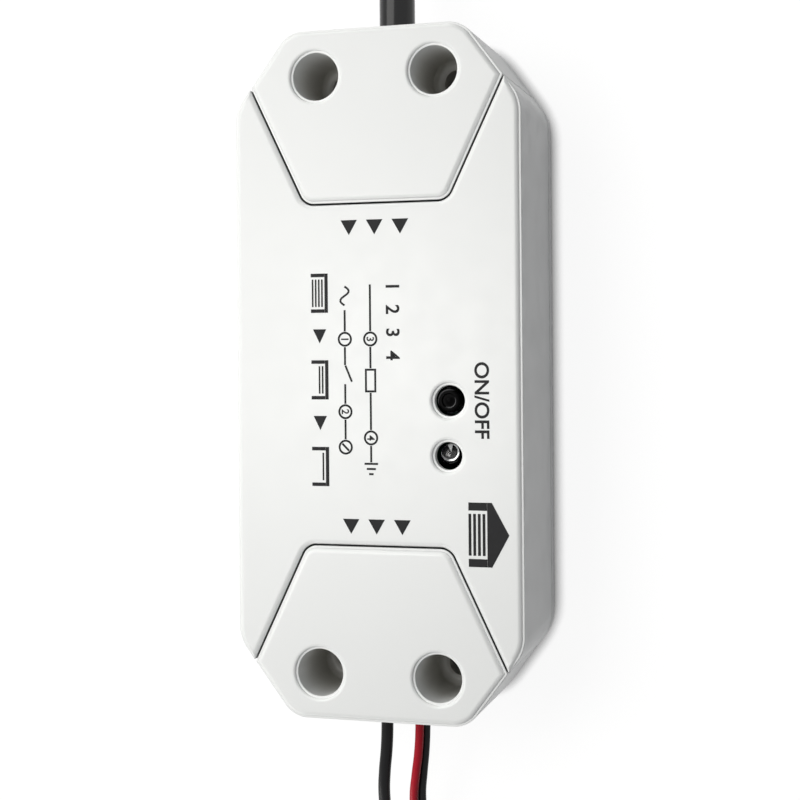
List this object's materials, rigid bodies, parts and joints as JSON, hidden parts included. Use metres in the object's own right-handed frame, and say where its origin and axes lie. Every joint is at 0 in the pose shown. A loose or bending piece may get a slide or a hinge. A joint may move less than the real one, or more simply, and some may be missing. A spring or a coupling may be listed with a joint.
{
  "type": "garage door controller",
  "caption": "Flat white in-line garage door controller box with chamfered corners, recessed button and lamp, screw-well end caps, a mains cable and coiled output leads.",
  "frame": {"origin": "middle of the housing's underside, on the surface the box is screwed to", "axes": "+Z out of the top face with the button and lamp, +Y towards the mains input end, +X towards the side with the button"},
  "size_m": [0.0428, 0.236, 0.021],
  "materials": {
    "housing_white": "white moulded ABS, satin gloss",
    "button_black": "black nylon stem",
    "component_black": "black moulded component body",
    "plated_steel": "tin or nickel plated steel",
    "lamp_clear": "clear moulded epoxy lens",
    "board_green": "green solder resist on glass-epoxy board",
    "component_blue": "blue moulded case",
    "ferrite": "dark grey ferrite",
    "winding_tape": "yellow winding tape",
    "resistor_green": "green coated resistor",
    "board_blue": "dark blue solder resist",
    "terminal_green": "green terminal block",
    "core_brown": "brown PVC insulation",
    "core_blue": "blue PVC insulation",
    "sheath_black": "black PVC sheath, soft gloss",
    "tinned_copper": "tinned copper strands",
    "lead_black": "black PVC insulation",
    "lead_red": "dark red PVC insulation",
    "tie_white": "natural nylon band"
  },
  "bodies": {
    "housing": {"base_tray": "housing_white", "center_cover": "housing_white", "input_end_cap": "housing_white", "output_end_cap": "housing_white", "switch_body": "component_black", "switch_frame": "plated_steel", "status_lamp": "lamp_clear", "lamp_spacer": "component_black", "circuit_board": "board_green", "board_screws": "plated_steel", "relay": "component_blue", "transformer_core": "ferrite", "transformer_bobbin": "winding_tape", "input_capacitor": "component_black", "output_capacitor": "component_black", "varistor": "component_blue", "fuse_resistor": "resistor_green", "bridge_rectifier": "component_black", "driver_chip": "component_black", "wifi_board": "board_blue", "wifi_shield": "plated_steel", "input_terminal_block": "terminal_green", "output_terminal_block": "terminal_green", "input_terminal_screws": "plated_steel", "output_terminal_screws": "plated_steel", "live_core": "core_brown", "neutral_core": "core_blue", "mains_cable": "sheath_black", "live_tail": "core_brown", "neutral_tail": "core_blue", "mains_tips": "tinned_copper", "black_lead": "lead_black", "black_lead_coil": "lead_black", "black_lead_tie": "tie_white", "red_lead": "lead_red", "red_lead_coil": "lead_red", "twin_black_lead": "lead_black", "twin_black_coil": "lead_black", "twin_lead_tie": "tie_white", "lead_tips": "tinned_copper"},
    "button": {"push_button": "button_black"}
  },
  "joints": [
    {"name": "button_press", "type": "slide", "parent": "housing", "child": "button", "axis": [0, 0, -1], "range_m": [0, 0.0003], "stiffness_N_per_m": 4000}
  ]
}
